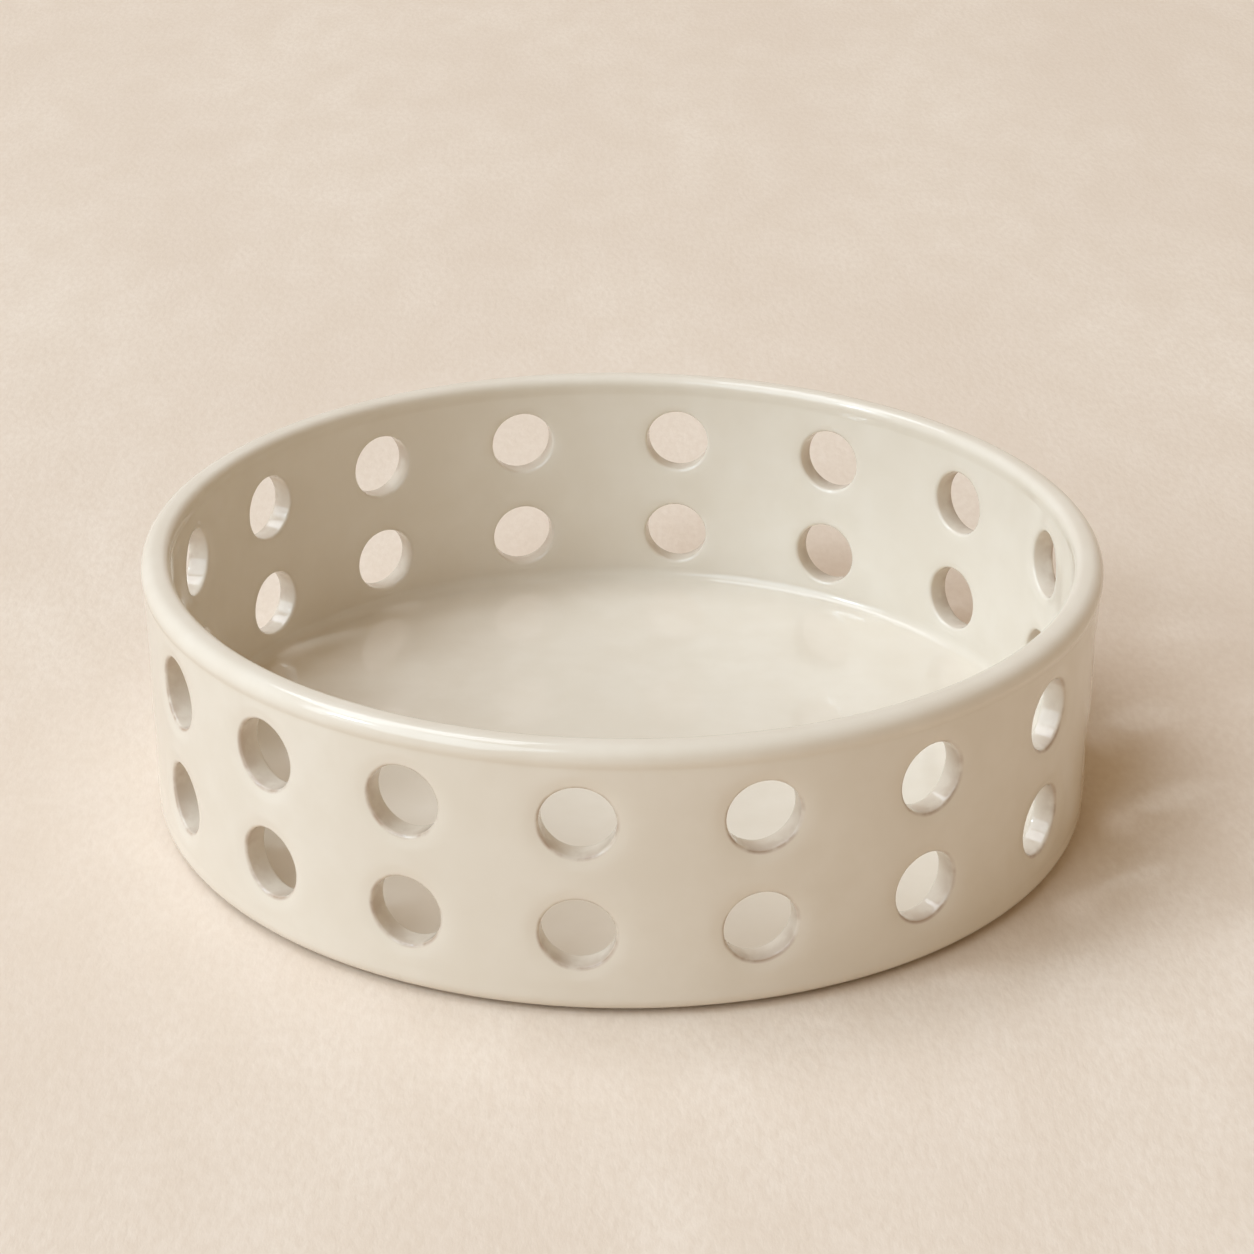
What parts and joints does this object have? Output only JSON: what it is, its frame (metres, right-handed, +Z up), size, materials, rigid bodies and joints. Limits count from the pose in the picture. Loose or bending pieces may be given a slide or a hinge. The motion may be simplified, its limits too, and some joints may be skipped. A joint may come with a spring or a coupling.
{
  "type": "serving bowl",
  "caption": "Low round serving bowl of glazed stoneware: a flat floor, a straight wall pierced by rows of round holes and a softly rolled rim, on a low bare foot.",
  "frame": {"origin": "centre of the foot, on the surface that the bowl stands on", "axes": "+Z up through the middle of the bowl, -Y towards the viewer of the picture, +X to the viewer's right"},
  "size_m": [0.28, 0.28, 0.08],
  "materials": {
    "stoneware": "bare fired clay, matt, buff with fine specks",
    "cream_glaze": "glossy warm cream glaze, breaking to brown where it is thin at the edges of the holes"
  },
  "bodies": {
    "root": {"floor_slab": "stoneware", "foot_ring": "stoneware", "wall": "stoneware", "cove_coil": "stoneware", "rim_coil": "stoneware", "outside_glaze": "cream_glaze", "inside_glaze": "cream_glaze", "rim_glaze": "cream_glaze", "hole_glaze": "cream_glaze"}
  },
  "joints": []
}
